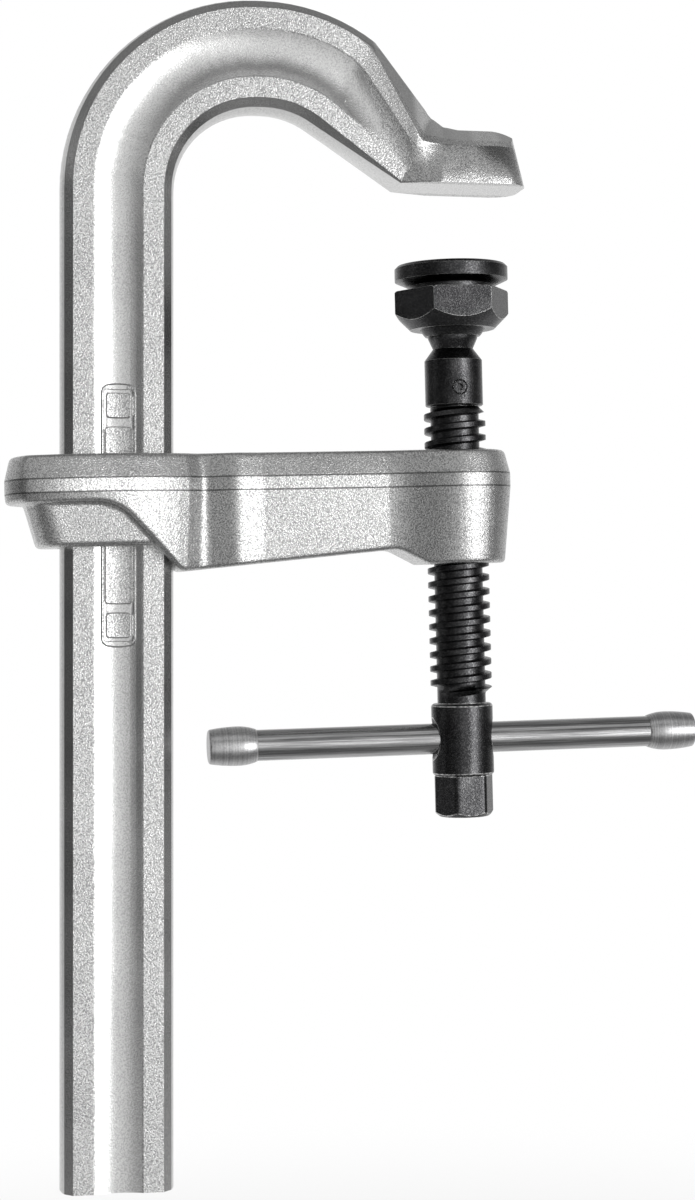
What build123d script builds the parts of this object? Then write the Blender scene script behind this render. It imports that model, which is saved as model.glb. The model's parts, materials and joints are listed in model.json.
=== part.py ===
from build123d import *
from math import acos, asin, atan2, cos, radians, sin, sqrt, tan
import os

# All sizes are in millimetres and degrees.
# The origin is the centre of the fixed jaw's clamping face, +Z runs up the rail,
# and the rail stands on the -X side of the screw.

# Throat and opening
throat_depth = 101.8
rail_reach = 351.8
jaw_to_arm = 93.8
arm_cant = 1.47
cant_pivot_depth = 20.2

# Rail section
rail_width = 39.6
rail_thickness = 20.0
rail_crown = 1.3
rail_side_height = 14.4
rail_bevel = 2.9
groove_width = 17.2
groove_depth = 1.7

# Bare panel in the rail's front groove, below the level of the lands
panel_start = 73.1
panel_length = 89.4
panel_width = 12.2
panel_rise = 0.5
panel_draft = 50.0
panel_corner_radius = 1.2
panel_rim = 1.1
pocket_depth = 0.25
pocket_draft = 20.0
pad_rise = 0.95
pad_draft = 20.0
pad_corner_radius = 0.6
pad_border = 2.5
pad_gap = 3.2
short_pad_length = 8.5
short_pad_width = 8.5
long_pad_width = 9.3

# Arch
arch_inner_radius = 28.8
arch_drop = 4.7
arch_flat = 2.5
arch_past_top = 36.0

# Neck, where it meets the heel of the fixed jaw
neck_length = 27.8
neck_lean = 26.3
neck_inner_half = 10.0
neck_outer_half = 13.0
neck_groove_start = 5.9
neck_groove_end = 12.5
neck_groove_half = 11.0
neck_bevel_start = 16.0
neck_ridge_half = 2.2
neck_blend_run = 4.6
neck_blend_drop = 3.1

# Fixed jaw
jaw_heel = 22.4
jaw_nose = 23.2
jaw_width = 28.8
jaw_corner_radius = 9.0
jaw_flank_height = 13.3
jaw_ridge_height = 20.9
jaw_ridge_half = 1.6
jaw_draft = 3.0
jaw_edge = 0.6
nose_draft = 13.5
nose_roll_start = 9.5
nose_roll_run = 10.8
nose_roll_drop = 5.6
nose_roll_bulge = 1.4

# Sliding arm, seen from above at its parting band
head_end_wall = 18.8
head_end_radius = 31.0
head_half_depth = 24.0
head_front_radius = 65.0
head_bulge_offset = 5.2
head_corner_radius = 7.0
shoulder_wall = 4.3
shoulder_radius = 5.0
waist_wall = 9.8
waist_half_depth = 13.4
waist_radius = 3.0
hump_offset = 11.0
hump_half_depth = 17.0
hump_radius = 9.0
web_start_offset = 20.0
web_half_depth = 15.0
web_blend_radius = 6.0
web_end_distance = 27.0
boss_radius = 19.4

# Sliding arm, seen from the front
arm_height = 40.2
band_top_depth = 8.3
band_height = 4.7
upper_draft = 14.0
lower_draft = 5.7
arm_top_radius = 2.0
arm_under_radius = 1.5
lip_depth = 16.5
lip_slope = 48.0
lip_curve_radius = 17.0
heel_radius = 4.0
heel_inset = 1.0
heel_drop = 0.7
web_end_depth = 34.7
web_end_blend = 8.0
boss_flare_start = 4.6
boss_foot_inset = 5.9

# Skirt of the arm's head, below the lip
skirt_depth = 31.6
skirt_end_wall = 13.1
skirt_end_lean = 5.0
skirt_half_depth = 20.0
skirt_side_lean = 2.0
skirt_overlap = 3.6
skirt_corner_radius = 9.0
skirt_edge_radius = 2.0

# Play of the arm on the rail and on the screw
rail_play_across = 0.35
rail_play_flat = 0.3
rail_hole_corner = 3.0
thread_clearance = 0.06
bore_chamfer = 1.0

# Spindle, from the arm's top
thread_diameter = 22.0
thread_root_diameter = 17.3
thread_runout = 5.0
collar_below_arm = 90.1
collar_length = 25.7
collar_diameter = 22.0
collar_edge = 0.8
drive_hex_width = 19.0
drive_hex_corner_diameter = 21.2
drive_hex_length = 14.7
drive_hex_turn = 3.5
drive_hex_chamfer = 1.5
bar_hole_below_collar_top = 12.5
bar_hole_countersink = 1.6

# Ball stud on the spindle's journal
stud_above_arm = 16.1
sleeve_diameter = 20.6
sleeve_length = 16.3
sleeve_flare = 4.2
stud_waist_diameter = 14.3
stud_cone_length = 3.7
stud_cone_diameter = 17.6
ball_radius = 13.0
ball_above_waist = 13.0
ball_cut_below_centre = 8.5
journal_diameter = 13.0
journal_length = 13.6
journal_clearance = 0.06
journal_end_gap = 0.1
stud_face_gap = 0.3

# Grub screw in the sleeve and its groove in the journal
grub_height = 6.2
grub_diameter = 5.0
grub_sink = 0.4
dog_diameter = 3.2
dog_length = 1.3
dog_clearance = 0.3
grub_socket_width = 2.5
grub_socket_depth = 1.7

# Swivel pad
plate_diameter = 40.4
plate_rim_height = 5.4
plate_top_chamfer = 1.0
plate_under_height = 1.9
plate_under_diameter = 32.0
plate_over_ball = 3.8
pad_nut_width = 36.0
pad_nut_height = 13.8
pad_nut_gap = 1.8
pad_nut_chamfer = 5.7
pad_nut_top_chamfer = 0.6
pad_thread_diameter = 30.0
ball_clearance = 0.1
spigot_above_centre = 1.0
spigot_end_gap = 0.3

# Tommy bar
bar_length = 177.2
bar_diameter = 11.0
bar_offset = -3.0
bar_clearance = 0.3
cap_diameter = 13.9
cap_inner_diameter = 11.5
cap_outer_diameter = 12.0
cap_length = 17.0
cap_widest_at = 6.6
cap_corner_radius = 0.9
cap_seat_diameter = 8.0
cap_end_wall = 3.0

# Places that follow from the sizes
rail_x = -(throat_depth + rail_width / 2)
arch_x = -throat_depth + arch_inner_radius
band_bottom_depth = band_top_depth + band_height
waist_z = stud_above_arm + sleeve_length + sleeve_flare
ball_z = waist_z + ball_above_waist
plate_top_z = ball_z + ball_radius + plate_over_ball
rim_bottom_z = plate_top_z - plate_rim_height
plate_under_z = rim_bottom_z - plate_under_height
nut_top_z = plate_under_z - pad_nut_gap
nut_bottom_z = nut_top_z - pad_nut_height
grub_z = stud_above_arm + grub_height
collar_top_z = -collar_below_arm
collar_bottom_z = collar_top_z - collar_length
bar_z = collar_top_z - bar_hole_below_collar_top
rail_hole_width = rail_width + skirt_depth * tan(radians(arm_cant)) + 2 * rail_play_across
rail_hole_thickness = rail_thickness + 2 * rail_play_flat


def turned(*points):
    """Solid turned about Z from an outline of (radius, height) points."""
    outline = Polyline(*[(r, 0, z) for r, z in points], close=True)
    return revolve(make_face(outline), Axis.Z, 360)


def forged_section(plane, length, half, inner_crown=0.0, outer_crown=0.0):
    """Closed outline across the forging, the same on both sides of its flat plane.

    Local x runs from the inner side to the outer side and local y across. half lists (x, y)
    points of one side: the inner side's edge, the inner land's two ends, the groove's bottom,
    the outer land's two ends and the outer side's edge.
    """

    def at(point, side):
        return plane.from_local_coords((point[0], side * point[1], 0))

    def half_edges(side):
        inner, land_in, groove_in, bottom, groove_out, land_out, outer = [at(p, side) for p in half]
        return [
            Line(inner, land_in),
            Line(land_in, groove_in),
            ThreePointArc(groove_in, bottom, groove_out),
            Line(groove_out, land_out),
            Line(land_out, outer),
        ]

    def end_edge(point, crown):
        if not crown:
            return Line(at(point, 1), at(point, -1))
        return ThreePointArc(at(point, 1), at((point[0] + crown, 0), 1), at(point, -1))

    ends = [end_edge(half[0], -inner_crown), end_edge(half[-1], outer_crown)]
    return make_face(half_edges(1) + half_edges(-1) + ends)


def rail_section(plane):
    """Crowned sides, bevels, flat lands and a shallow round groove along each face."""
    half = rail_thickness / 2
    groove_start = (rail_width - groove_width) / 2
    points = [
        (rail_crown, rail_side_height / 2),
        (rail_crown + rail_bevel, half),
        (groove_start, half),
        (rail_width / 2, half - groove_depth),
        (rail_width - groove_start, half),
        (rail_width - rail_crown - rail_bevel, half),
        (rail_width - rail_crown, rail_side_height / 2),
    ]
    return forged_section(plane, rail_width, points, rail_crown, rail_crown)


def groove_curve_radius():
    return (groove_width**2 / 4 + groove_depth**2) / (2 * groove_depth)


def groove_block(centre_z, length, width, draft, corner_radius):
    """Drafted block through the front groove, as long and as wide as said where it meets the groove."""
    curve = groove_curve_radius()
    depth = sqrt(curve**2 - width**2 / 4) - curve + groove_depth
    drawn_in = 2 * depth * tan(radians(draft))
    root_depth = 2 * groove_depth
    spread = 2 * root_depth * tan(radians(draft))
    front = Plane(origin=(rail_x, -rail_thickness / 2, centre_z), x_dir=(1, 0, 0), z_dir=(0, -1, 0))

    def slice_at(depth, wider, rounder):
        across = width - drawn_in + wider
        along = length - drawn_in + wider
        return front.offset(-depth) * RectangleRounded(across, along, corner_radius + max(rounder, 0))

    top = slice_at(0, 0, -spread / 2)
    root = slice_at(root_depth, spread, spread / 2)
    return loft([root.faces()[0], top.faces()[0]], ruled=True)


def groove_cylinder(centre_z, length, rise):
    """What lies outside a surface that follows the front groove, risen from it."""
    curve = groove_curve_radius()
    axis_y = -rail_thickness / 2 + groove_depth - curve
    return Pos(rail_x, axis_y, centre_z) * Cylinder(curve - rise, 2 * length)


def raised(centre_z, length, width, rise, draft, corner_radius):
    block = groove_block(centre_z, length, width, draft, corner_radius)
    return block - groove_cylinder(centre_z, length, rise)


def with_panel(rail):
    """The rail with its bare panel: a rimmed pocket that holds a long pad between two short ones."""
    centre_z = -panel_start - panel_length / 2
    rail += raised(centre_z, panel_length, panel_width, panel_rise, panel_draft, panel_corner_radius)
    pocket_length = panel_length - 2 * panel_rim
    pocket_width = panel_width - 2 * panel_rim
    pocket = groove_block(centre_z, pocket_length, pocket_width, -pocket_draft, pad_corner_radius)
    rail -= pocket & groove_cylinder(centre_z, pocket_length, -pocket_depth)
    long_pad_length = panel_length - 2 * (pad_border + short_pad_length + pad_gap)
    rail += raised(centre_z, long_pad_length, long_pad_width, pad_rise, pad_draft, pad_corner_radius)
    reach = (panel_length - short_pad_length) / 2 - pad_border
    for side in (1, -1):
        place = centre_z + side * reach
        rail += raised(place, short_pad_length, short_pad_width, pad_rise, pad_draft, pad_corner_radius)
    return rail


def section_plane(x, z, lean):
    """Plane across the forging whose local x leaves (x, z) leaning from +Z towards +X."""
    angle = radians(lean)
    return Plane(origin=(x, 0, z), x_dir=(sin(angle), 0, cos(angle)), z_dir=(cos(angle), 0, -sin(angle)))


def jaw_half(height):
    """Half width of the fixed jaw at a height above its face."""
    return jaw_width / 2 - height * tan(radians(jaw_draft))


def heel_section():
    """Where the neck meets the jaw's heel: square inner corners, and a steep bevel outside."""
    points = [
        (0, neck_inner_half - jaw_edge),
        (jaw_edge, neck_inner_half),
        (neck_groove_start, neck_inner_half),
        ((neck_groove_start + neck_groove_end) / 2, neck_groove_half),
        (neck_groove_end, neck_outer_half - jaw_edge),
        (neck_bevel_start, neck_outer_half),
        (neck_length, neck_ridge_half),
    ]
    return forged_section(section_plane(-jaw_heel, 0, neck_lean), neck_length, points)


def jaw_section(x, lean, ridge_height, ridge_half):
    """Across the jaw from its face: flanks up to the roof's edge, then the roof."""
    groove_start = 2 * jaw_edge
    groove_end = jaw_flank_height - 2 * jaw_edge
    middle = (groove_start + groove_end) / 2
    points = [
        (0, jaw_half(0)),
        (jaw_edge, jaw_half(jaw_edge)),
        (groove_start, jaw_half(groove_start)),
        (middle, jaw_half(middle) - jaw_edge / 3),
        (groove_end, jaw_half(groove_end)),
        (jaw_flank_height, jaw_half(jaw_flank_height)),
        (ridge_height, ridge_half),
    ]
    return forged_section(section_plane(x, 0, lean), ridge_height, points)


def anvil():
    """Fixed jaw from the middle of its face to its nose, which leans back and rolls into the roof."""
    length = jaw_nose + jaw_width
    eave = jaw_half(jaw_flank_height)
    slope = (jaw_ridge_height - jaw_flank_height) / (eave - jaw_ridge_half)
    wide = 2 * jaw_width
    low = jaw_flank_height - slope * (wide - eave)
    crown = [(wide, low), (jaw_ridge_half, jaw_ridge_height), (-jaw_ridge_half, jaw_ridge_height), (-wide, low)]
    roof = extrude(make_face(Plane.YZ * Polyline(*crown, close=True)), jaw_nose, dir=(1, 0, 0))

    def slice_at(height):
        nose = jaw_nose - height * tan(radians(nose_draft))
        centre = Pos(nose - length / 2, 0, height)
        return (centre * RectangleRounded(length, 2 * jaw_half(height), jaw_corner_radius)).faces()[0]

    nose = loft([slice_at(0), slice_at(jaw_ridge_height)], ruled=True)
    top = jaw_ridge_height
    start = (nose_roll_start, 0, top)
    end = (nose_roll_start + nose_roll_run, 0, top - nose_roll_drop)
    bulge = (
        (start[0] + end[0]) / 2 + nose_roll_bulge,
        0,
        (start[2] + end[2]) / 2 + nose_roll_bulge,
    )
    side = [
        Polyline(end, (2 * jaw_nose, 0, 0), (-jaw_nose, 0, 0), (-jaw_nose, 0, top), start),
        ThreePointArc(start, bulge, end),
    ]
    return nose & roof & extrude(make_face(side), jaw_width, both=True)


def rail_with_fixed_jaw():
    """One forging: the rail, the arch over the throat, the neck and the fixed jaw."""
    inner_x = -throat_depth
    foot = Plane(origin=(inner_x, 0, -rail_reach), x_dir=(-1, 0, 0), z_dir=(0, 0, 1))
    leg_top = Plane(origin=(inner_x, 0, -arch_drop), x_dir=(-1, 0, 0), z_dir=(0, 0, 1))
    leg = extrude(rail_section(foot), rail_reach - arch_drop, dir=(0, 0, 1))
    rise = revolve(rail_section(leg_top), Axis((arch_x, 0, -arch_drop), (0, 1, 0)), 90)
    crest = section_plane(arch_x, -arch_drop + arch_inner_radius, 0)
    flat = extrude(rail_section(crest), arch_flat, dir=(1, 0, 0))
    fall_axis = Axis((arch_x + arch_flat, 0, -arch_drop), (0, 1, 0))
    fall = revolve(rail_section(crest.offset(arch_flat)), fall_axis, arch_past_top)

    angle = radians(arch_past_top)
    neck_x = arch_x + arch_flat + arch_inner_radius * sin(angle)
    neck_z = -arch_drop + arch_inner_radius * cos(angle)
    neck_start = rail_section(section_plane(neck_x, neck_z, arch_past_top))
    ridge_x = -jaw_heel + neck_length * sin(radians(neck_lean))
    ridge_z = neck_length * cos(radians(neck_lean))
    blend_height = ridge_z - neck_blend_drop
    blend_x = ridge_x + neck_blend_run
    blend_lean = neck_lean / 3
    middle_x = blend_x - blend_height * tan(radians(blend_lean))
    blend_length = blend_height / cos(radians(blend_lean))
    middle = jaw_section(middle_x, blend_lean, blend_length, (neck_ridge_half + jaw_ridge_half) / 2)
    end = jaw_section(0, 0, jaw_ridge_height, jaw_ridge_half)
    neck = loft([neck_start, heel_section()], ruled=True)
    heel = loft([heel_section(), middle, end], ruled=True)
    return with_panel(leg + rise + flat + fall + neck + heel + anvil())


def arc_meeting(radius_a, centre_a, radius_b, centre_b):
    """Left-hand crossing of an arc about a point on the x axis with an arc about centre_b."""
    run = centre_b[0] - centre_a
    rise = centre_b[1]
    span = sqrt(run**2 + rise**2)
    along = (radius_a**2 - radius_b**2 + span**2) / (2 * span)
    off = sqrt(radius_a**2 - along**2)
    one = (centre_a + (along * run + off * rise) / span, (along * rise - off * run) / span)
    other = (centre_a + (along * run - off * rise) / span, (along * rise + off * run) / span)
    return min(one, other)


def arm_outline():
    """The arm's plan at its parting band: a bulged head, a waist, a low hump, a web and a round boss."""
    end_x = rail_x - rail_width / 2 - head_end_wall
    bulge = (rail_x - head_bulge_offset, head_half_depth - head_front_radius)
    corner = arc_meeting(head_end_radius, end_x + head_end_radius, head_front_radius, bulge)
    shoulder_x = -throat_depth + shoulder_wall
    shoulder = (shoulder_x, bulge[1] + sqrt(head_front_radius**2 - (shoulder_x - bulge[0]) ** 2))
    waist_x = -throat_depth + waist_wall
    waist = (waist_x, waist_half_depth)
    hump = (waist_x + hump_offset, hump_half_depth)
    web_start = (waist_x + web_start_offset, web_half_depth)
    web_end = (-web_end_distance, web_half_depth)
    reach = sqrt(web_end_distance**2 + web_half_depth**2)
    turn = atan2(web_half_depth, -web_end_distance) - acos(boss_radius / reach)
    touch = (boss_radius * cos(turn), boss_radius * sin(turn))

    def half(side):
        def at(point):
            return (point[0], side * point[1])

        end_turn = asin(corner[1] / head_end_radius) / 2
        end_mid = (end_x + head_end_radius * (1 - cos(end_turn)), head_end_radius * sin(end_turn))
        front_mid = (bulge[0], head_half_depth)
        boss_mid = (boss_radius * cos(turn / 2), boss_radius * sin(turn / 2))
        return [
            ThreePointArc((end_x, 0), at(end_mid), at(corner)),
            ThreePointArc(at(corner), at(front_mid), at(shoulder)),
            Polyline(*[at(p) for p in (shoulder, waist, hump, web_start, web_end, touch)]),
            ThreePointArc(at(touch), at(boss_mid), (boss_radius, 0)),
        ]

    plan = make_face(half(1) + half(-1))
    blends = (
        (corner, head_corner_radius),
        (shoulder, shoulder_radius),
        (waist, waist_radius),
        (hump, hump_radius),
        (web_start, web_blend_radius),
        (web_end, web_blend_radius),
    )
    for point, radius in blends:
        for side in (1, -1):
            spot = Vector(point[0], side * point[1], 0)
            plan = fillet(plan.vertices().sort_by_distance(spot)[0], radius)
    return plan


def arm_side_view():
    """What the arm keeps, seen from the front: the swept lip, the web's underside and the boss's foot."""
    end_x = rail_x - rail_width / 2 - head_end_wall
    far = 2 * boss_radius
    web_left = (-throat_depth + heel_inset, -arm_height - heel_drop)
    slope = tan(radians(lip_slope))
    lip_corner = (web_left[0] - (-lip_depth - web_left[1]) / slope, -lip_depth)
    web_right = (-boss_radius - boss_flare_start, -web_end_depth)
    boss_foot = (-boss_radius + boss_foot_inset, -arm_height)
    points = [
        (end_x - far, far),
        (far, far),
        (far, -arm_height),
        boss_foot,
        web_right,
        web_left,
        lip_corner,
        (end_x - far, -lip_depth),
    ]
    view = make_face(Polyline(*points, close=True))
    blends = ((lip_corner, lip_curve_radius), (web_left, heel_radius), (web_right, web_end_blend))
    for point, radius in blends:
        view = fillet(view.vertices().sort_by_distance(Vector(*point, 0))[0], radius)
    return extrude(Plane.XZ * view, 2 * head_half_depth, both=True)


def rounded_underneath(body):
    """Round the edge all the way along the underside, where it meets the drafted walls."""
    down = [face for face in body.faces() if face.normal_at(face.center()).Z < -0.3]
    edges = [edge for face in down for edge in face.edges()]
    rim = [edge for edge in edges if sum(edge.is_same(other) for other in edges) == 1]
    return body.fillet(arm_under_radius, rim)


def arm_skirt():
    """Sleeve of the head around the rail below the lip, leaning in towards its lower edge."""
    left_x = rail_x - rail_width / 2 - skirt_end_wall
    right_x = -throat_depth - skirt_overlap

    def slice_at(depth, end_lean, side_lean):
        length = right_x - left_x - end_lean
        centre = Pos(right_x - length / 2, 0, -depth)
        return centre * RectangleRounded(length, 2 * (skirt_half_depth - side_lean), skirt_corner_radius)

    upper = slice_at(band_bottom_depth, 0, 0)
    lower = slice_at(skirt_depth, skirt_end_lean, skirt_side_lean)
    skirt = loft([upper.faces()[0], lower.faces()[0]], ruled=True)
    return fillet(skirt.faces().sort_by(Axis.Z)[0].edges(), skirt_edge_radius)


def drafted(plan, from_z, to_z, draft):
    """Wall from a plan at one height to the same plan, drawn in by its draft, at another."""
    start = Pos(0, 0, from_z) * plan
    drawn_in = offset(plan, amount=-abs(to_z - from_z) * tan(radians(draft))).faces()[0] if draft else plan
    end = Pos(0, 0, to_z) * drawn_in
    return Solid.make_loft([start.outer_wire(), end.outer_wire()], ruled=True)


def sliding_arm():
    """Drop forging: a band at the parting line, drafted both ways, bored for the rail and the screw."""
    plan = arm_outline().faces()[0]
    band = drafted(plan, -band_bottom_depth, -band_top_depth, 0)
    upper = drafted(plan, -band_top_depth, 0, upper_draft)
    upper = fillet(upper.faces().sort_by(Axis.Z)[-1].edges(), arm_top_radius)
    lower = drafted(plan, -band_bottom_depth, -band_bottom_depth - arm_height, lower_draft)
    body = Part() + band + upper + rounded_underneath(lower & arm_side_view()) + arm_skirt()

    hole = Pos(rail_x, 0, 0) * RectangleRounded(rail_hole_width, rail_hole_thickness, rail_hole_corner)
    body -= extrude(hole, 2 * arm_height, both=True)
    bore_radius = thread_diameter / 2 + thread_clearance
    mouth = bore_radius + bore_chamfer
    body -= turned(
        (0, 1),
        (mouth + 1, 1),
        (bore_radius, -bore_chamfer),
        (bore_radius, -arm_height + bore_chamfer),
        (mouth + 1, -arm_height - 1),
        (0, -arm_height - 1),
    )
    return body


def spindle():
    """Screw with its journal on top, and a collar and drive hexagon below."""
    screw = thread_diameter / 2
    root = thread_root_diameter / 2
    journal = journal_diameter / 2
    collar = collar_diameter / 2
    shoulder_z = stud_above_arm - stud_face_gap
    journal_top = stud_above_arm + journal_length
    groove = dog_diameter / 2 + dog_clearance
    groove_radius = sleeve_diameter / 2 - grub_length() - dog_length - grub_sink - dog_clearance
    body = turned(
        (0, journal_top),
        (journal - collar_edge, journal_top),
        (journal, journal_top - collar_edge),
        (journal, grub_z + groove),
        (groove_radius, grub_z + groove),
        (groove_radius, grub_z - groove),
        (journal, grub_z - groove),
        (journal, shoulder_z),
        (root, shoulder_z),
        (screw, shoulder_z - (screw - root)),
        (screw, collar_top_z + thread_runout),
        (root, collar_top_z + thread_runout - (screw - root) / 2),
        (root, collar_top_z),
        (collar - collar_edge, collar_top_z),
        (collar, collar_top_z - collar_edge),
        (collar, collar_bottom_z + collar_edge),
        (collar - collar_edge, collar_bottom_z),
        (0, collar_bottom_z),
    )
    return body + drive_hexagon() - bar_hole()


def grub_length():
    """Length of the grub screw's body, which ends flush with the sleeve's bore."""
    return sleeve_diameter / 2 - grub_sink - journal_diameter / 2 - journal_clearance


def drive_hexagon():
    corner = drive_hex_corner_diameter / 2
    flat = drive_hex_width / 2
    end_z = collar_bottom_z - drive_hex_length
    hexagon = Rot(0, 0, drive_hex_turn) * RegularPolygon(flat, 6, major_radius=False)
    prism = extrude(Pos(0, 0, end_z) * hexagon, drive_hex_length)
    blank = turned(
        (0, collar_bottom_z),
        (corner, collar_bottom_z),
        (corner, end_z + drive_hex_chamfer),
        (flat - drive_hex_chamfer / 2, end_z),
        (0, end_z),
    )
    return prism & blank


def bar_hole():
    """Cross hole for the tommy bar, countersunk at both mouths."""
    hole = bar_diameter / 2 + bar_clearance
    edge = collar_diameter / 2
    along_x = Pos(0, 0, bar_z) * Rot(0, 90, 0)
    wide = hole + 2 * bar_hole_countersink
    tool = turned(
        (0, -2 * edge),
        (wide + edge, -2 * edge),
        (hole, -edge + bar_hole_countersink),
        (hole, edge - bar_hole_countersink),
        (wide + edge, 2 * edge),
        (0, 2 * edge),
    )
    return along_x * tool


def ball_stud():
    sleeve = sleeve_diameter / 2
    cone_top = waist_z + stud_cone_length
    ball_cut = ball_z - ball_cut_below_centre
    body = turned(
        (0, stud_above_arm),
        (sleeve - collar_edge / 2, stud_above_arm),
        (sleeve, stud_above_arm + collar_edge / 2),
        (sleeve, stud_above_arm + sleeve_length),
        (stud_waist_diameter / 2, waist_z),
        (stud_cone_diameter / 2, cone_top),
        (stud_cone_diameter / 2, ball_z),
        (0, ball_z),
    )
    ball = Pos(0, 0, ball_z) * Sphere(ball_radius)
    below = Pos(0, 0, ball_cut - ball_radius) * Box(4 * ball_radius, 4 * ball_radius, 2 * ball_radius)
    body += ball - below
    bore_radius = journal_diameter / 2 + journal_clearance
    bore = Pos(0, 0, stud_above_arm) * extrude(Circle(bore_radius), journal_length + journal_end_gap)
    return body - bore - grub_hole()


def grub_hole():
    facing = Plane(origin=(0, 0, grub_z), x_dir=(1, 0, 0), z_dir=(0, -1, 0))
    return extrude(facing * Circle(grub_diameter / 2), sleeve_diameter)


def grub_screw():
    """Socket set screw with a dog point, facing the front."""
    outer = sleeve_diameter / 2 - grub_sink
    inner = outer - grub_length()
    facing = Plane(origin=(0, 0, grub_z), x_dir=(1, 0, 0), z_dir=(0, -1, 0))
    body = extrude(facing.offset(inner) * Circle(grub_diameter / 2), outer - inner)
    body += extrude(facing.offset(inner - dog_length) * Circle(dog_diameter / 2), dog_length)
    socket = RegularPolygon(grub_socket_width / 2, 6, major_radius=False)
    return body - extrude(facing.offset(outer - grub_socket_depth) * socket, grub_socket_depth)


def ball_seat():
    return Pos(0, 0, ball_z) * Sphere(ball_radius + ball_clearance)


def pressure_plate():
    rim = plate_diameter / 2
    spigot = pad_thread_diameter / 2
    body = turned(
        (0, plate_top_z),
        (rim - plate_top_chamfer, plate_top_z),
        (rim, plate_top_z - plate_top_chamfer),
        (rim, rim_bottom_z),
        (plate_under_diameter / 2, plate_under_z),
        (spigot, plate_under_z),
        (spigot, ball_z + spigot_above_centre),
        (0, ball_z + spigot_above_centre),
    )
    return body - ball_seat()


def pad_nut():
    """Hexagonal cup that holds the plate on the ball."""
    corner = pad_nut_width / sqrt(3)
    chamfer_z = nut_bottom_z + pad_nut_chamfer
    hexagon = RegularPolygon(pad_nut_width / 2, 6, major_radius=False)
    prism = extrude(Pos(0, 0, nut_bottom_z) * hexagon, pad_nut_height)
    blank = turned(
        (0, nut_top_z),
        (corner - pad_nut_top_chamfer, nut_top_z),
        (corner, nut_top_z - pad_nut_top_chamfer),
        (corner, chamfer_z),
        (corner - pad_nut_chamfer, nut_bottom_z),
        (0, nut_bottom_z),
    )
    thread_z = ball_z + spigot_above_centre - spigot_end_gap
    thread = Pos(0, 0, thread_z) * extrude(Circle(pad_thread_diameter / 2), pad_nut_height)
    return (prism & blank) - thread - ball_seat()


def tommy_bar_rod():
    """Bar along X with a reduced seat at each end for its cap."""
    rod_half = bar_length / 2 - cap_length
    seat_half = bar_length / 2 - cap_end_wall
    rod = bar_diameter / 2
    seat = cap_seat_diameter / 2
    profile = turned(
        (0, -seat_half),
        (seat, -seat_half),
        (seat, -rod_half),
        (rod, -rod_half),
        (rod, rod_half),
        (seat, rod_half),
        (seat, seat_half),
        (0, seat_half),
    )
    return Pos(bar_offset, 0, bar_z) * Rot(0, 90, 0) * profile


def tommy_bar_cap(side):
    """Barrel-shaped cap pressed onto one end of the bar."""
    seat = cap_seat_diameter / 2
    seat_depth = cap_length - cap_end_wall
    inner = (cap_inner_diameter / 2, 0, 0)
    widest = (cap_diameter / 2, 0, cap_widest_at)
    outer = (cap_outer_diameter / 2, 0, cap_length)
    outline = [
        Line((seat, 0, 0), inner),
        TangentArc(widest, inner, tangent=(0, 0, -1)),
        TangentArc(widest, outer, tangent=(0, 0, 1)),
        Polyline(outer, (0, 0, cap_length), (0, 0, seat_depth), (seat, 0, seat_depth), (seat, 0, 0)),
    ]
    cap = revolve(make_face(outline), Axis.Z, 360)
    cap = fillet(cap.faces().sort_by(Axis.Z)[-1].edges(), cap_corner_radius)
    inner_x = bar_offset + side * (bar_length / 2 - cap_length)
    return Pos(inner_x, 0, bar_z) * Rot(0, side * 90, 0) * cap


def canted(piece):
    """Place a piece of the arm group, which is modelled square to its arm, as the arm hangs on the rail."""
    pivot_z = -jaw_to_arm - cant_pivot_depth
    return Pos(0, 0, pivot_z) * Rot(0, -arm_cant, 0) * Pos(0, 0, cant_pivot_depth) * piece


def main():
    os.makedirs("parts", exist_ok=True)
    pieces = {
        "rail_with_fixed_jaw": rail_with_fixed_jaw(),
        "sliding_arm": canted(sliding_arm()),
        "spindle": canted(spindle()),
        "ball_stud": canted(ball_stud()),
        "grub_screw": canted(grub_screw()),
        "pressure_plate": canted(pressure_plate()),
        "pad_nut": canted(pad_nut()),
        "tommy_bar_rod": canted(tommy_bar_rod()),
        "tommy_bar_cap_left": canted(tommy_bar_cap(-1)),
        "tommy_bar_cap_right": canted(tommy_bar_cap(1)),
    }
    for name, piece in pieces.items():
        export_step(piece, f"parts/{name}.step")


main()
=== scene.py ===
import json
from math import cos, pi, radians, sin, tan

import bmesh
import bpy
from bpy.props import FloatProperty, FloatVectorProperty, IntProperty, PointerProperty
from mathutils import Matrix, Vector


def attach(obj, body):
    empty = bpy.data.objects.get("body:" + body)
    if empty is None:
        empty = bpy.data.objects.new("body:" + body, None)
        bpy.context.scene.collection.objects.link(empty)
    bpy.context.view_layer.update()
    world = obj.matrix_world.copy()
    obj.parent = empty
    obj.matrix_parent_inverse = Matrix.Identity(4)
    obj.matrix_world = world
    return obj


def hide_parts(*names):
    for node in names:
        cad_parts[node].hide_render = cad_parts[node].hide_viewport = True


bl_info = {
    "name": "Steel bar clamp",
    "version": (1, 0, 0),
    "blender": (4, 5, 0),
    "location": "3D View > Sidebar > Clamp",
    "description": "Dresses the bar clamp with forged, drawn and blackened steel",
    "category": "Object",
}

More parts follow.
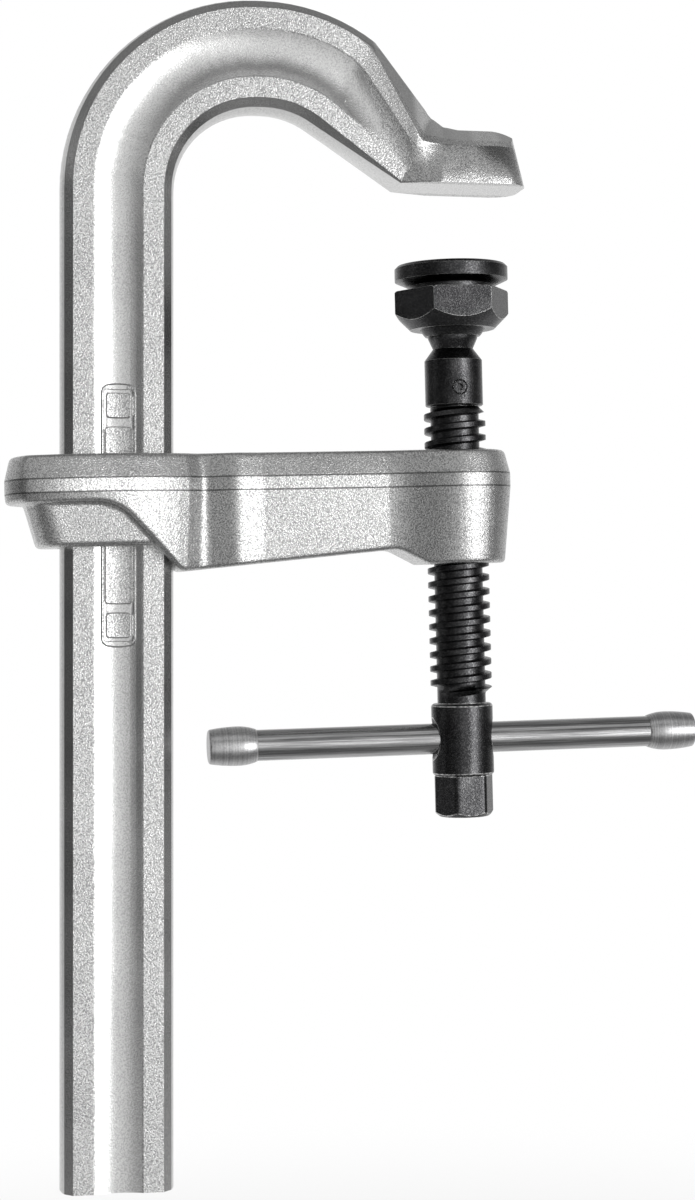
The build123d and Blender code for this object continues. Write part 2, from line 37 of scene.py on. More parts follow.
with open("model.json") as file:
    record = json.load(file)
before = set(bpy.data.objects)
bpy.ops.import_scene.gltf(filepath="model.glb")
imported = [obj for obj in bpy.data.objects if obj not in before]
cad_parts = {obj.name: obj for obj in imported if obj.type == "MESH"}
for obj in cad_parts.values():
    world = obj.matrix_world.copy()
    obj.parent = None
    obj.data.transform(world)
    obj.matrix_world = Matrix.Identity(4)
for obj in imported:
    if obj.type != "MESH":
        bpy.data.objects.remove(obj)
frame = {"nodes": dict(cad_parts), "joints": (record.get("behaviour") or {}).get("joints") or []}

# Depths of the arm's two parting seams below its top.
SEAM_DEPTHS = (0.0083, 0.0130)
# Height in the screw's frame at which the threaded core meets the collar's neck.
CORE_FOOT = -0.0885
# Painted shade in the gap round the grub screw: x and z of its middle, its radius and half its width.
GRUB_GAP = (-0.00109, -0.07151, 0.0025, 0.0003)
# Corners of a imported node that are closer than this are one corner.
SAME_SPOT = 2e-6
# Edges of a machined piece that turn by more degrees than this get a bevel.
SHARP_TURN = 28


def joint_named(name):
    return next(joint for joint in frame["joints"] if joint["name"] == name)


def screw_frame():
    """Matrix from the screw's own frame, with +Z up the screw and the arm's top at 0, to the row frame."""
    joint = joint_named("spindle_turn")
    axis = Vector(joint["axis"]).normalized()
    across = Vector((0, 1, 0))
    along = across.cross(axis)
    turn = Matrix((along, across, axis)).transposed().to_4x4()
    return Matrix.Translation(joint["pos_m"]) @ turn


def screw_axis():
    """Direction up the screw, and how far along it the arm's top lies."""
    joint = joint_named("spindle_turn")
    up = Vector(joint["axis"]).normalized()
    return up, up.dot(Vector(joint["pos_m"]))


class ClampThread(bpy.types.PropertyGroup):
    diameter: FloatProperty(
        name="Diameter", description="Outside diameter of the screw", default=0.022, min=0.005, unit="LENGTH"
    )
    root_diameter: FloatProperty(
        name="Root diameter",
        description="Diameter at the bottom of the thread",
        default=0.0173,
        unit="LENGTH",
    )
    pitch: FloatProperty(
        name="Pitch",
        description="Rise of one turn",
        default=0.005,
        min=0.001,
        unit="LENGTH",
    )
    flank: FloatProperty(
        name="Flank angle", description="Lean of each flank", default=radians(15), subtype="ANGLE"
    )
    top: FloatProperty(
        name="Top",
        description="Height of the thread's upper end above the arm",
        default=0.0158,
        unit="LENGTH",
    )
    bottom: FloatProperty(
        name="Bottom", description="Height of the thread's lower end", default=-0.0851, unit="LENGTH"
    )
    phase: FloatProperty(
        name="Phase", description="Turn of the thread about the screw's axis", default=0.0, subtype="ANGLE"
    )
    steps: IntProperty(name="Steps", description="Steps in one turn", default=72, min=12, max=256)


class ClampEdges(bpy.types.PropertyGroup):
    arm_grid: FloatProperty(
        name="Arm grid", description="Size of the grid that softens the arm", default=0.00052, unit="LENGTH"
    )
    arm_passes: IntProperty(
        name="Arm passes", description="Smoothing passes over the arm", default=3, min=0, max=40
    )
    rail: FloatProperty(
        name="Rail edge",
        description="Bevel on the rail and jaw",
        default=0.0004,
        unit="LENGTH",
    )
    machined: FloatProperty(
        name="Machined edge",
        description="Bevel on the turned and milled pieces",
        default=0.00025,
        unit="LENGTH",
    )


class ClampFinish(bpy.types.PropertyGroup):
    forging: FloatVectorProperty(
        name="Forging", description="Bright plated forging", default=(0.76, 0.76, 0.755), subtype="COLOR"
    )
    forging_shade: FloatVectorProperty(
        name="Forging shade", description="Darker grains of it", default=(0.22, 0.22, 0.225), subtype="COLOR"
    )
    bar: FloatVectorProperty(
        name="Bar", description="Bright drawn bar", default=(0.72, 0.72, 0.72), subtype="COLOR"
    )
    oxide: FloatVectorProperty(
        name="Black oxide", description="Blackened steel", default=(0.05, 0.05, 0.052), subtype="COLOR"
    )
    oxide_worn: FloatVectorProperty(
        name="Worn oxide",
        description="Where the black has rubbed thin",
        default=(0.16, 0.16, 0.162),
        subtype="COLOR",
    )
    grain: FloatProperty(
        name="Grain", description="Size of the blasted grain", default=0.00058, min=0.0001, unit="LENGTH"
    )
    land: FloatProperty(
        name="Lands",
        description="Half thickness above which the rail is grained",
        default=0.0098,
        unit="LENGTH",
    )
    pad: FloatProperty(
        name="Pads",
        description="Half thickness above which its panel is grained",
        default=0.0090,
        unit="LENGTH",
    )


class ClampStage(bpy.types.PropertyGroup):
    floor_drop: FloatProperty(
        name="Floor", description="Height of the floor in the row frame", default=-0.48, unit="LENGTH"
    )
    floor: FloatVectorProperty(
        name="Floor colour", description="Plain pale floor", default=(0.92, 0.92, 0.92), subtype="COLOR"
    )
    camera_x: FloatProperty(name="Camera X", description="Camera position", default=-0.1822, unit="LENGTH")
    camera_y: FloatProperty(name="Camera Y", description="Camera position", default=-0.8079, unit="LENGTH")
    camera_z: FloatProperty(name="Camera Z", description="Camera position", default=-0.147, unit="LENGTH")
    camera_turn: FloatProperty(
        name="Camera turn", description="Turn about the vertical", default=radians(-10), subtype="ANGLE"
    )
    lens: FloatProperty(
        name="Lens", description="Focal length", default=69.3, min=10, subtype="DISTANCE_CAMERA"
    )
    key: FloatProperty(name="Key", description="Power of the key lamp", default=3.0, min=0, unit="POWER")
    floor_reach: FloatProperty(
        name="Floor reach",
        description="Radius of the floor that takes the shadow",
        default=0.7,
        unit="LENGTH",
    )


class Wire:
    """An output socket that takes part in Python expressions."""

    def __init__(self, graph, socket):
        self.graph = graph
        self.socket = socket

    def maths(self, operation, first, second=0.0, clamp=False):
        return self.graph.add(
            "ShaderNodeMath", {"operation": operation, "use_clamp": clamp}, {0: first, 1: second}
        )

    def __add__(self, other):
        return self.maths("ADD", self, other)

    def __radd__(self, other):
        return self.maths("ADD", other, self)

    def __sub__(self, other):
        return self.maths("SUBTRACT", self, other)

    def __rsub__(self, other):
        return self.maths("SUBTRACT", other, self)

    def __mul__(self, other):
        return self.maths("MULTIPLY", self, other)

    def __rmul__(self, other):
        return self.maths("MULTIPLY", other, self)

    def __truediv__(self, other):
        return self.maths("DIVIDE", self, other)

    def __rtruediv__(self, other):
        return self.maths("DIVIDE", other, self)

    def __pow__(self, other):
        return self.maths("POWER", self, other)

    def __abs__(self):
        return self.maths("ABSOLUTE", self)

    def clamped(self):
        return self.maths("ADD", self, 0.0, clamp=True)


class Graph:
    """The nodes of a material or of the world."""

    def __init__(self, tree):
        self.tree = tree
        tree.nodes.clear()

    def add(self, kind, settings=None, sockets=None, output=0):
        """Adds a node. Its settings are set first, then its sockets take values or links."""
        node = self.tree.nodes.new(kind)
        for name, value in (settings or {}).items():
            if name == "stops":
                ramp = node.color_ramp
                ramp.interpolation = "EASE"
                while len(ramp.elements) < len(value):
                    ramp.elements.new(1.0)
                for element, (place, colour) in zip(ramp.elements, value):
                    element.position = place
                    element.color = colour
            else:
                setattr(node, name, value)
        for name, value in (sockets or {}).items():
            if isinstance(value, Wire):
                self.tree.links.new(value.socket, node.inputs[name])
            else:
                node.inputs[name].default_value = value
        return Wire(self, node.outputs[output]) if len(node.outputs) else node

    def place(self):
        """Where a point of the surface is, in the row frame at rest, in metres."""
        return self.add("ShaderNodeTexCoord", output="Object")

    def value(self, number):
        return self.add("ShaderNodeMath", {"operation": "ADD"}, {0: number, 1: 0.0})

    def outputs(self, wire):
        """Every output of the node that a wire leaves."""
        return [Wire(self, socket) for socket in wire.socket.node.outputs]

    def noise(self, place, size, detail=2.0, roughness=0.5, output="Fac"):
        """Noise of a grain size in metres, turned so that no flat face lies along its grid."""
        turned = self.add("ShaderNodeMapping", None, {"Vector": place, "Rotation": (0.5, 0.3, 0.8)})
        sockets = {"Vector": turned, "Scale": 1 / size, "Detail": detail, "Roughness": roughness}
        return self.add("ShaderNodeTexNoise", None, sockets, output)

    def along(self, place, direction):
        """How far a point lies along a direction."""
        dot = {"operation": "DOT_PRODUCT"}
        return self.add("ShaderNodeVectorMath", dot, {0: place, 1: direction}, "Value")

    def axes(self, place):
        """The x, y and z of a point or of a direction."""
        return self.outputs(self.add("ShaderNodeSeparateXYZ", None, {0: place}))

    def stretched(self, place, scale):
        return self.add("ShaderNodeVectorMath", {"operation": "MULTIPLY"}, {0: place, 1: scale})

    def step(self, value, low, high):
        """0 below low, 1 above high and smooth between them."""
        sockets = {0: value, 1: low, 2: high, 3: 0.0, 4: 1.0}
        return self.add("ShaderNodeMapRange", {"interpolation_type": "SMOOTHSTEP"}, sockets)

    def mix(self, amount, first, second):
        colours = {0: amount, 6: first, 7: second}
        return self.add("ShaderNodeMix", {"data_type": "RGBA"}, colours, 2)

    def bump(self, height, depth, strength=1.0, normal=None):
        sockets = {"Height": height, "Distance": depth, "Strength": strength}
        if normal:
            sockets["Normal"] = normal
        return self.add("ShaderNodeBump", None, sockets)

    def surface(self, **sockets):
        values = {name.replace("_", " "): value for name, value in sockets.items()}
        shader = self.add("ShaderNodeBsdfPrincipled", None, values)
        self.add("ShaderNodeOutputMaterial", None, {"Surface": shader})


def rgba(colour):
    return (*colour, 1.0)


def material(name):
    made = bpy.data.materials.new(name)
    made.use_nodes = True
    return made, Graph(made.node_tree)


def forged_steel(finish, name, form, grained=None, seam_shade_lines=()):
    """Bright plated steel with a blasted grain.

    form makes, from the graph and the place, the normal of the die's broad curves.
    grained makes how strong the grain is there.
    The seam lines are painted shade along the band's creases, each given as (direction, height, half width).
    """
    made, graph = material(name)
    place = graph.place()
    curved = form(graph, place)
    blasted = grained(graph, place) if grained else graph.value(1.0)
    grain = graph.noise(place, finish.grain * 0.8, 2.0, 0.7)
    speck = graph.noise(place, finish.grain, 2.0, 0.75)
    coarse = graph.noise(place, finish.grain * 5, 2.0, 0.5)
    cloud = graph.step(graph.noise(place, 0.025, 3.0, 0.5), 0.3, 0.7)
    dark = (0.05, 0.05, 0.05, 1.0)
    pit = (1.0 - graph.step(speck, 0.42, 0.53)) * blasted
    colour = graph.mix(pit * 0.6 + (1.0 - cloud) * 0.1, rgba(finish.forging), rgba(finish.forging_shade))
    # Painted shade: a dark line along each of the band's two creases.
    for direction, height, half_width in seam_shade_lines:
        offset = abs(graph.along(place, direction) - height)
        line = 1.0 - graph.step(offset, half_width * 0.4, half_width)
        colour = graph.mix(line * 0.75, colour, dark)
    graph.surface(
        Base_Color=colour,
        Metallic=1.0,
        Roughness=0.18 + pit * 0.14 + cloud * 0.05,
        Normal=graph.bump(grain + coarse * 0.2, finish.grain * 0.24, blasted, curved),
    )
    return made


def jaw_form(graph, place):
    """The jaw's flanks are a little crowned, and more so at the nose."""
    crest = 0.0133
    foot = 0.0015
    x, _, z = graph.axes(place)
    rise = z.maths("MINIMUM", z, crest) - foot
    depth = 20.0 * graph.step(x, -0.018, -0.006) + 30.0 * graph.step(x, 0.003, 0.015)
    return graph.bump(rise * rise * depth * -1.0, 1.0)


def arm_form(graph, place):
    """The head's upper band is flat in front, and a hollow leads from the web into the boss."""
    hollow_depth = 0.0042
    flat_depth = -0.0062
    seam_half = 0.0003
    up, top = screw_axis()
    x = graph.axes(place)[0]
    hollow = graph.bump(graph.step(x, -0.025, -0.002) * hollow_depth, 1.0)
    flat = graph.bump(graph.step(x, -0.160, -0.120) * flat_depth, 1.0)
    seam = top - SEAM_DEPTHS[1]
    band = graph.step(graph.along(place, up), seam - seam_half, seam + seam_half)
    head = band * (1.0 - graph.step(x, -0.110, -0.100))
    return graph.add("ShaderNodeMix", {"data_type": "VECTOR"}, {0: head, 4: hollow, 5: flat}, 1)


def rail_grain(finish):
    """Grain on the rail's lands, jaw and panel, and little of it in the smooth groove and bevels."""
    middle = Vector((-0.1216, 0, -0.1178))
    half = Vector((0.0061, 0, 0.0447))
    border = 0.0004
    rim = 0.0001

    def strength(graph, place):
        x, y, z = graph.axes(place)
        out = abs(y)
        beside = graph.step(abs(x - middle.x), half.x, half.x - border)
        within = graph.step(abs(z - middle.z), half.z, half.z - border)
        land = graph.step(out, finish.land - rim, finish.land + rim)
        pad = graph.step(out, finish.pad - rim, finish.pad + rim)
        front = graph.step(y, 0.0, -0.001)
        return 0.35 + 0.65 * (land + pad * beside * within * front).clamped()

    return strength


def drawn_steel(finish):
    """Bright bar with fine streaks along it."""
    made, graph = material("drawn_steel")
    axis = Vector(joint_named("tommy_bar_slide")["axis"]).normalized()
    place = graph.place()
    run = graph.along(place, axis)
    depth = graph.along(place, Vector((0, 1, 0)))
    rise = graph.along(place, axis.cross(Vector((0, 1, 0))))
    lines = graph.add("ShaderNodeCombineXYZ", None, {0: run * 0.02, 1: depth, 2: rise})
    streak = graph.noise(lines, 0.0005, 3.0, 0.6)
    broad = graph.noise(lines, 0.0022, 2.0, 0.5)
    mark = graph.step(streak, 0.35, 0.68)
    dull = (0.30, 0.30, 0.305, 1.0)
    graph.surface(
        Base_Color=graph.mix(mark * 0.6 + broad * 0.4, dull, rgba(finish.bar)),
        Metallic=1.0,
        Roughness=0.16 + mark * 0.10,
        Normal=graph.bump(streak, 0.00005, 0.5),
    )
    return made


def turned_steel(finish):
    """Bright caps with fine rings round the bar's axis."""
    made, graph = material("turned_steel")
    place = graph.place()
    run = graph.along(place, Vector(joint_named("tommy_bar_slide")["axis"]).normalized())
    rings = graph.noise(graph.add("ShaderNodeCombineXYZ", None, {0: run}), 0.0004, 2.0, 0.6)
    fine = graph.noise(place, 0.0005, 2.0, 0.6)
    mark = graph.step(rings * 0.6 + fine * 0.4, 0.36, 0.62)
    dull = (0.46, 0.46, 0.465, 1.0)
    graph.surface(
        Base_Color=graph.mix(mark, dull, rgba(finish.bar)),
        Metallic=1.0,
        Roughness=0.30 + mark * 0.08,
        Normal=graph.bump(rings, 0.00004, 0.5),
    )
    return made


def black_oxide(finish, name="black_oxide", gap=None):
    """Blackened steel, satin, a little thinner in patches and specks.

    gap is (x, z, radius, half width) of a ring of painted shade for the gap round a screw that faces the
    front.
    """
    made, graph = material(name)
    place = graph.place()
    fine = graph.noise(place, 0.00055, 2.0, 0.7)
    patch = graph.noise(place, 0.009, 3.0, 0.55)
    thin = graph.step(patch, 0.45, 0.72) * 0.3 + graph.step(fine, 0.48, 0.62) * 0.6
    colour = graph.mix(thin, rgba(finish.oxide), rgba(finish.oxide_worn))
    if gap:
        middle_x, middle_z, radius, half_width = gap
        x, _, z = graph.axes(place)
        out = ((x - middle_x) ** 2.0 + (z - middle_z) ** 2.0) ** 0.5
        # Painted shade: a near-black ring where the gap round the screw lies in shade.
        ring = 1.0 - graph.step(abs(out - radius), half_width * 0.6, half_width)
        dark = (0.004, 0.004, 0.004, 1.0)
        colour = graph.mix(ring, colour, dark)
    graph.surface(
        Base_Color=colour,
        Metallic=1.0,
        Roughness=0.18 + fine * 0.08 + patch * 0.05,
        Normal=graph.bump(fine, 0.00012, 0.7),
    )
    return made


def worn_edge(finish):
    """Edges of the blackened pieces, where the steel shows through."""
    made, graph = material("worn_edge")
    rubbed = graph.step(graph.noise(graph.place(), 0.0012, 3.0, 0.6), 0.35, 0.6)
    graph.surface(
        Base_Color=graph.mix(rubbed, rgba(finish.oxide_worn), rgba(finish.forging)),
        Metallic=1.0,
        Roughness=0.34 + rubbed * 0.05,
    )
    return made


def merged_copy(node):
    """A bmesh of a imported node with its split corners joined."""
    made = bmesh.new()
    made.from_mesh(frame["nodes"][node].data)
    bmesh.ops.remove_doubles(made, verts=made.verts, dist=SAME_SPOT)
    return made


def object_from(made, name, *materials):
    mesh = bpy.data.meshes.new(name)
    made.to_mesh(mesh)
    made.free()
    for used in materials:
        mesh.materials.append(used)
    piece = bpy.data.objects.new(name, mesh)
    bpy.context.scene.collection.objects.link(piece)
    return piece


def smooth_shaded(piece):
    piece.data.polygons.foreach_set("use_smooth", [True] * len(piece.data.polygons))


def settled(piece):
    """Applies the piece's modifiers."""
    graph = bpy.context.evaluated_depsgraph_get()
    mesh = bpy.data.meshes.new_from_object(piece.evaluated_get(graph))
    piece.modifiers.clear()
    piece.data = mesh
    mesh.name = piece.name


def softened(node, name, voxel, passes, made):
    """A forging's solid with its edges rounded as a die leaves them."""
    piece = object_from(merged_copy(node), name, made)
    remesh = piece.modifiers.new("grid", "REMESH")
    remesh.mode = "VOXEL"
    remesh.voxel_size = voxel
    smooth = piece.modifiers.new("smooth", "SMOOTH")
    smooth.factor = 0.5
    smooth.iterations = passes
    settled(piece)
    smooth_shaded(piece)
    return piece


def blended(made, low, high, passes):
    """Rounds the creases of a forged blend inside a box."""

    def within(vert):
        return all(a <= c <= b for a, c, b in zip(low, vert.co, high))

    edge_lengths = (0.006, 0.003, 0.0015, 0.0012)
    every_way = {"use_axis_x": True, "use_axis_y": True, "use_axis_z": True}
    for length in edge_lengths:
        faces = [face for face in made.faces if any(within(vert) for vert in face.verts)]
        bmesh.ops.triangulate(made, faces=faces)
        inside = {edge for vert in made.verts if within(vert) for edge in vert.link_edges}
        long = [edge for edge in made.edges if edge in inside and edge.calc_length() > length]
        bmesh.ops.subdivide_edges(made, edges=long, cuts=1)
    faces = [face for face in made.faces if any(within(vert) for vert in face.verts)]
    bmesh.ops.triangulate(made, faces=faces)
    verts = [vert for vert in made.verts if within(vert)]
    for _ in range(passes):
        bmesh.ops.smooth_vert(made, verts=verts, factor=0.5, **every_way)


def edged(node, name, width, *materials, limit=SHARP_TURN, blend=None):
    """A piece's solid with small bevels along the edges that turn by more than limit degrees.

    Where there are two materials, the bevels have the second. blend is a box and a number of passes.
    """
    piece = object_from(merged_copy(node), name, *materials)
    smooth_shaded(piece)
    bevel = piece.modifiers.new("edges", "BEVEL")
    bevel.limit_method = "ANGLE"
    bevel.angle_limit = radians(limit)
    bevel.width = width
    bevel.segments = 2
    bevel.material = len(materials) - 1
    if blend:
        settled(piece)
        made = bmesh.new()
        made.from_mesh(piece.data)
        blended(made, *blend)
        made.to_mesh(piece.data)
        made.free()
    weighted = piece.modifiers.new("normals", "WEIGHTED_NORMAL")
    weighted.weight = 75
    settled(piece)
    return piece


def ride(piece, body, slot, *nodes):
    """Puts a piece on its body in place of the nodes that it dresses."""
    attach(piece, body)
    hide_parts(*nodes)


def helical_thread(thread):
    """Thread on its core, cut square at both ends, in the screw's own frame."""
    radius = thread.diameter / 2
    root = thread.root_diameter / 2
    pitch = thread.pitch
    run = (radius - root) * tan(thread.flank)
    crest_share = 0.366
    crest = crest_share * pitch
    floor = pitch - crest - 2 * run
    edge = 0.00012
    profile = [
        (0.0, root),
        (floor, root),
        (floor + run - edge / 2, radius - edge),
        (floor + run + edge, radius),
        (floor + run + crest - edge, radius),
        (floor + run + crest + edge / 2, radius - edge),
    ]
    runout_slope = 2
    chamfer = radius - root
    chamfer_run = 0.0024
    spare_turns = 2

    def limit(height):
        """Radius of the blank that the thread is cut from."""
        if height < thread.bottom:
            return max(root, radius - runout_slope * (thread.bottom - height))
        return max(root, min(radius, root + (thread.top - height) * chamfer / chamfer_run))

    steps = thread.steps
    turns = int((thread.top - CORE_FOOT) / pitch) + 2 * spare_turns
    start = CORE_FOOT - spare_turns * pitch
    made = bmesh.new()
    rows = []
    for turn in range(turns):
        for offset, size in profile:
            row = []
            for i in range(steps):
                angle = 2 * pi * i / steps
                height = start + pitch * (turn + i / steps) + offset
                r = min(size, limit(height))
                spot = (r * cos(angle + thread.phase), r * sin(angle + thread.phase), height)
                row.append(made.verts.new(spot))
            rows.append(row)
    shift = len(profile)
    for j in range(len(rows) - 1 - shift):
        for i in range(steps):
            low, high = rows[j], rows[j + 1]
            if i < steps - 1:
                corners = (low[i], low[i + 1], high[i + 1], high[i])
            else:
                corners = (low[i], rows[j + shift][0], rows[j + 1 + shift][0], high[i])
            made.faces.new(corners)
    cut_square(made, CORE_FOOT, thread.top)
    return made


def in_order(made):
    """Sorts the faces by their corners, because a cut leaves them in no fixed order."""
    made.verts.index_update()
    count = len(made.verts)

    def rank(face):
        first, second, third = sorted(vert.index for vert in face.verts)[:3]
        return (first * count + second) * count + third

    made.faces.sort(key=rank)


def cut_square(made, low, high):
    """Cuts a body off at two heights and closes it with flat ends."""
    near = 1e-6

    def on_cut(edge, height):
        return edge.is_boundary and all(abs(vert.co.z - height) < near for vert in edge.verts)

    for height, keep in ((low, -1), (high, 1)):
        if height is None:
            continue
        everything = made.verts[:] + made.edges[:] + made.faces[:]
        bmesh.ops.bisect_plane(
            made, geom=everything, plane_co=(0, 0, height), plane_no=(0, 0, keep), clear_outer=True
        )
        loose = [vert for vert in made.verts if not vert.link_faces]
        bmesh.ops.delete(made, geom=loose, context="VERTS")
        rim = [edge for edge in made.edges if on_cut(edge, height)]
        bmesh.ops.edgeloop_fill(made, edges=rim)
    in_order(made)
    bmesh.ops.recalc_face_normals(made, faces=made.faces)


def joined(*bodies):
    """One bmesh out of several, which are freed."""
    whole = bmesh.new()
    for body in bodies:
        mesh = bpy.data.meshes.new("part_of_piece")
        body.to_mesh(mesh)
        body.free()
        whole.from_mesh(mesh)
        bpy.data.meshes.remove(mesh)
    return whole


def bevelled(made, width):
    """Bevels the sharp edges of a machined body, with its second material on the bevels."""
    turn = radians(SHARP_TURN)
    sharp = [edge for edge in made.edges if edge.is_manifold and edge.calc_face_angle() > turn]
    bmesh.ops.bevel(
        made,
        geom=sharp,
        offset=width,
        offset_type="OFFSET",
        segments=2,
        profile=0.5,
        affect="EDGES",
        material=1,
    )


class CLAMP_OT_forgings(bpy.types.Operator):
    """Rail with its fixed jaw, and the sliding arm, as bright forgings"""

    bl_idname = "clamp.forgings"
    bl_label = "Forgings"

    def execute(self, context):
        edges = context.scene.clamp_edges
        finish = context.scene.clamp_finish
        up, top = screw_axis()
        # Lines of painted shade along the band's two creases, at the seam depths.
        seam_half_width = 0.0004
        seam_shade_lines = [(up, top - depth, seam_half_width) for depth in SEAM_DEPTHS]
        profiled = forged_steel(finish, "forged_rail", jaw_form, grained=rail_grain(finish))
        parted = forged_steel(finish, "forged_arm", arm_form, seam_shade_lines=seam_shade_lines)
        heel = ((-0.042, -0.02, 0.0006), (-0.004, 0.02, 0.05), 14)
        rail = edged("rail_with_fixed_jaw", "rail_forging", edges.rail, profiled, limit=15, blend=heel)
        ride(rail, "rail", "bright_forging", "rail_with_fixed_jaw")
        arm = softened("sliding_arm", "arm_forging", edges.arm_grid, edges.arm_passes, parted)
        ride(arm, "sliding_arm", "bright_forging", "sliding_arm")
        return {"FINISHED"}


class CLAMP_OT_spindle(bpy.types.Operator):
    """Screw with its real thread, on the collar and drive hexagon"""

    bl_idname = "clamp.spindle"
    bl_label = "Spindle"

    def execute(self, context):
        scene = context.scene
        thread = scene.clamp_thread
        finish = scene.clamp_finish
        thread_edge = 32
        to_row = screw_frame()
        to_screw = to_row.inverted()
        lower = merged_copy("spindle")
        bmesh.ops.transform(lower, matrix=to_screw, verts=lower.verts)
        bevelled(lower, scene.clamp_edges.machined)
        upper = lower.copy()
        cut_square(lower, None, CORE_FOOT)
        cut_square(upper, thread.top, None)
        whole = joined(lower, helical_thread(thread), upper)
        bmesh.ops.transform(whole, matrix=to_row, verts=whole.verts)
        oxide = black_oxide(finish, "spindle_oxide")
        piece = object_from(whole, "threaded_spindle", oxide, worn_edge(finish))
        smooth_shaded(piece)
        piece.data.set_sharp_from_angle(angle=radians(thread_edge))
        weighted = piece.modifiers.new("normals", "WEIGHTED_NORMAL")
        weighted.keep_sharp = True
        settled(piece)
        ride(piece, "spindle", "black_oxide", "spindle")
        return {"FINISHED"}


class CLAMP_OT_swivel_pad(bpy.types.Operator):
    """Ball stud with its grub screw, pad nut and pressure plate"""

    bl_idname = "clamp.swivel_pad"
    bl_label = "Swivel pad"

    def execute(self, context):
        finish = context.scene.clamp_finish
        width = context.scene.clamp_edges.machined
        oxide = black_oxide(finish)
        # Oxide with a ring of painted shade round the grub screw.
        oxide_with_gap_shade = black_oxide(finish, "head_oxide_gap_shade", GRUB_GAP)
        worn = worn_edge(finish)
        pieces = (
            ("ball_stud", "thrust_head"),
            ("grub_screw", "thrust_head"),
            ("pad_nut", "pressure_pad"),
            ("pressure_plate", "pressure_pad"),
        )
        for node, body in pieces:
            black = oxide_with_gap_shade if body == "thrust_head" else oxide
            piece = edged(node, f"blackened_{node}", width, black, worn)
            ride(piece, body, "black_oxide", node)
        return {"FINISHED"}


class CLAMP_OT_tommy_bar(bpy.types.Operator):
    """Bright bar with its two caps"""

    bl_idname = "clamp.tommy_bar"
    bl_label = "Tommy bar"

    def execute(self, context):
        finish = context.scene.clamp_finish
        width = context.scene.clamp_edges.machined
        rod = edged("tommy_bar_rod", "drawn_bar", width, drawn_steel(finish))
        ride(rod, "tommy_bar", "bright_bar", "tommy_bar_rod")
        turned = turned_steel(finish)
        for side in ("left", "right"):
            cap = edged(f"tommy_bar_cap_{side}", f"bright_cap_{side}", width, turned)
            ride(cap, "tommy_bar", "bright_bar", f"tommy_bar_cap_{side}")
        return {"FINISHED"}


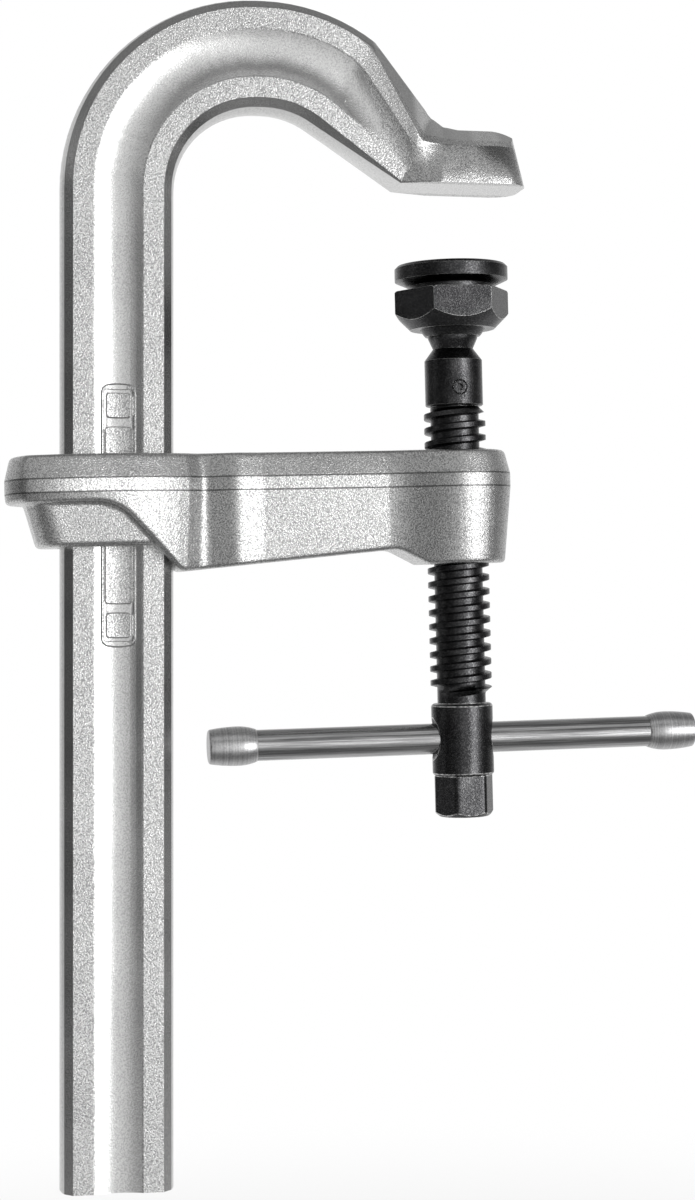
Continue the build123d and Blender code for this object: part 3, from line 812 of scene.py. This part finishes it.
class CLAMP_OT_stage(bpy.types.Operator):
    """Plain pale floor, soft studio light and the camera"""

    bl_idname = "clamp.stage"
    bl_label = "Stage"

    def execute(self, context):
        scene = context.scene
        stage = scene.clamp_stage
        scene.view_settings.view_transform = "Standard"
        self.add_floor(stage)
        self.light_world(scene)
        self.add_lamp(scene, stage)
        self.add_camera(scene, stage)
        return {"FINISHED"}

    def add_floor(self, stage):
        """Pale floor under the object, which fades into the white further out."""
        made = bmesh.new()
        bmesh.ops.create_grid(made, x_segments=2, y_segments=2, size=stage.floor_reach)
        bmesh.ops.translate(made, verts=made.verts, vec=(0, 0, stage.floor_drop))
        floor = object_from(made, "floor")
        surface, graph = material("floor_paper")
        rays = graph.outputs(graph.add("ShaderNodeLightPath"))
        camera, glossy = rays[0], rays[3]
        place = graph.place()
        fibres = graph.noise(place, 0.002, 3.0, 0.6)
        shaded = (0.86, 0.86, 0.86, 1.0)
        paper = graph.mix(fibres * 0.1, rgba(stage.floor), shaded)
        lit = graph.add("ShaderNodeBsdfDiffuse", None, {"Color": paper, "Roughness": 0.5})
        white = graph.add("ShaderNodeEmission", None, {"Color": (1, 1, 1, 1), "Strength": 1.0})
        shader = graph.add("ShaderNodeMixShader", None, {0: camera * 0.8, 1: lit, 2: white})
        flat = graph.stretched(place, (1, 1, 0))
        distance = graph.add("ShaderNodeVectorMath", {"operation": "LENGTH"}, {0: flat}, "Value")
        faded = graph.step(distance, stage.floor_reach * 0.4, stage.floor_reach * 0.95)
        clear = graph.add("ShaderNodeBsdfTransparent")
        under = graph.add("ShaderNodeNewGeometry", output="Backfacing")
        missed = (faded + glossy * 0.85 + under).clamped()
        shader = graph.add("ShaderNodeMixShader", None, {0: missed, 1: shader, 2: clear})
        graph.add("ShaderNodeOutputMaterial", None, {"Surface": shader})
        floor.data.materials.append(surface)

    def light_world(self, scene):
        """White behind the object; around it a studio with a bright right front and a dark left front."""
        world = bpy.data.worlds.new("studio")
        world.use_nodes = True
        scene.world = world
        graph = Graph(world.node_tree)
        way = graph.add("ShaderNodeTexCoord", output="Generated")
        right, back, up = graph.axes(way)
        walls = (
            (-180, 0.9), (-160, 0.8), (-138, 0.3), (-122, 0.1), (-60, 0.05), (-45, 0.06), (-30, 0.13),
            (-17, 0.36), (-6, 0.8), (2, 0.84), (12, 0.78), (18, 1.15), (25, 3.5), (30, 7.0), (34, 7.0),
            (39, 3.5), (48, 1.5), (58, 0.6), (70, 0.12), (92, 0.14), (108, 0.34), (128, 0.6), (150, 0.8),
            (180, 0.9),
        )
        heights = (
            (-180, 0.85), (-130, 0.75), (-104, 0.6), (-84, 0.3), (-64, 0.1), (-42, 0.14), (-26, 0.5),
            (-12, 0.9), (0, 0.9), (13, 0.85), (24, 0.5), (38, 0.14), (50, 0.6), (60, 0.65), (72, 0.2),
            (88, 0.14), (104, 0.24), (132, 0.34), (152, 0.65), (180, 0.85),
        )
        wall = self.ramp(graph, right, -1.0 * back, walls)
        roof = self.ramp(graph, up, -1.0 * back, heights)
        lifted = graph.step(abs(up), 0.15, 0.31)
        level = wall * (1.0 - lifted) + roof * lifted
        studio = graph.add("ShaderNodeBackground", None, {"Color": (1, 1, 1, 1), "Strength": level})
        white = graph.add("ShaderNodeBackground", None, {"Color": (1, 1, 1, 1), "Strength": 1.0})
        camera = graph.add("ShaderNodeLightPath", output="Is Camera Ray")
        shader = graph.add("ShaderNodeMixShader", None, {0: camera, 1: studio, 2: white})
        graph.add("ShaderNodeOutputWorld", None, {"Surface": shader})

    def ramp(self, graph, across, front, stops):
        """Light by the angle from the front toward across, from stops of (degrees, light)."""
        turn = across.maths("ARCTAN2", across, front) / (2 * pi) + 0.5
        brightest = max(light for degrees, light in stops)
        stops = [(degrees / 360 + 0.5, (*[light / brightest] * 3, 1.0)) for degrees, light in stops]
        return graph.add("ShaderNodeValToRGB", {"stops": stops}, {0: turn}) * brightest

    def add_lamp(self, scene, stage):
        data = bpy.data.lights.new("key", "AREA")
        data.shape = "RECTANGLE"
        data.size = 0.5
        data.size_y = 0.7
        data.energy = stage.key
        lamp = bpy.data.objects.new("key", data)
        lamp.location = (0.75, -0.85, 0.35)
        lamp.visible_glossy = False
        target = Vector((-0.03, 0, -0.12))
        aim = target - lamp.location
        lamp.rotation_euler = aim.to_track_quat("-Z", "Y").to_euler()
        scene.collection.objects.link(lamp)

    def add_camera(self, scene, stage):
        data = bpy.data.cameras.new("camera")
        data.lens = stage.lens
        data.sensor_width = 36
        data.clip_start = 0.01
        camera = bpy.data.objects.new("camera", data)
        camera.location = (stage.camera_x, stage.camera_y, stage.camera_z)
        camera.rotation_euler = (radians(90), 0, stage.camera_turn)
        scene.collection.objects.link(camera)
        scene.camera = camera


class CLAMP_PT_panel(bpy.types.Panel):
    """The clamp's pieces, sizes and colours"""

    bl_idname = "CLAMP_PT_panel"
    bl_label = "Clamp"
    bl_space_type = "VIEW_3D"
    bl_region_type = "UI"
    bl_category = "Clamp"

    def draw(self, context):
        for operator in OPERATORS:
            self.layout.operator(operator.bl_idname)
        for name in GROUPS:
            group = getattr(context.scene, name)
            box = self.layout.box()
            for field in group.__annotations__:
                box.prop(group, field)


OPERATORS = (
    CLAMP_OT_stage,
    CLAMP_OT_forgings,
    CLAMP_OT_spindle,
    CLAMP_OT_swivel_pad,
    CLAMP_OT_tommy_bar,
)
GROUPS = {
    "clamp_thread": ClampThread,
    "clamp_edges": ClampEdges,
    "clamp_finish": ClampFinish,
    "clamp_stage": ClampStage,
}


def register():
    for group in GROUPS.values():
        bpy.utils.register_class(group)
    for name, group in GROUPS.items():
        setattr(bpy.types.Scene, name, PointerProperty(type=group))
    for operator in OPERATORS:
        bpy.utils.register_class(operator)
    bpy.utils.register_class(CLAMP_PT_panel)


def unregister():
    bpy.utils.unregister_class(CLAMP_PT_panel)
    for operator in reversed(OPERATORS):
        bpy.utils.unregister_class(operator)
    for name, group in reversed(GROUPS.items()):
        delattr(bpy.types.Scene, name)
        bpy.utils.unregister_class(group)


def main():
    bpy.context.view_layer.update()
    register()
    bpy.ops.clamp.stage()
    bpy.ops.clamp.forgings()
    bpy.ops.clamp.spindle()
    bpy.ops.clamp.swivel_pad()
    bpy.ops.clamp.tommy_bar()


if __name__ == "__main__":
    main()
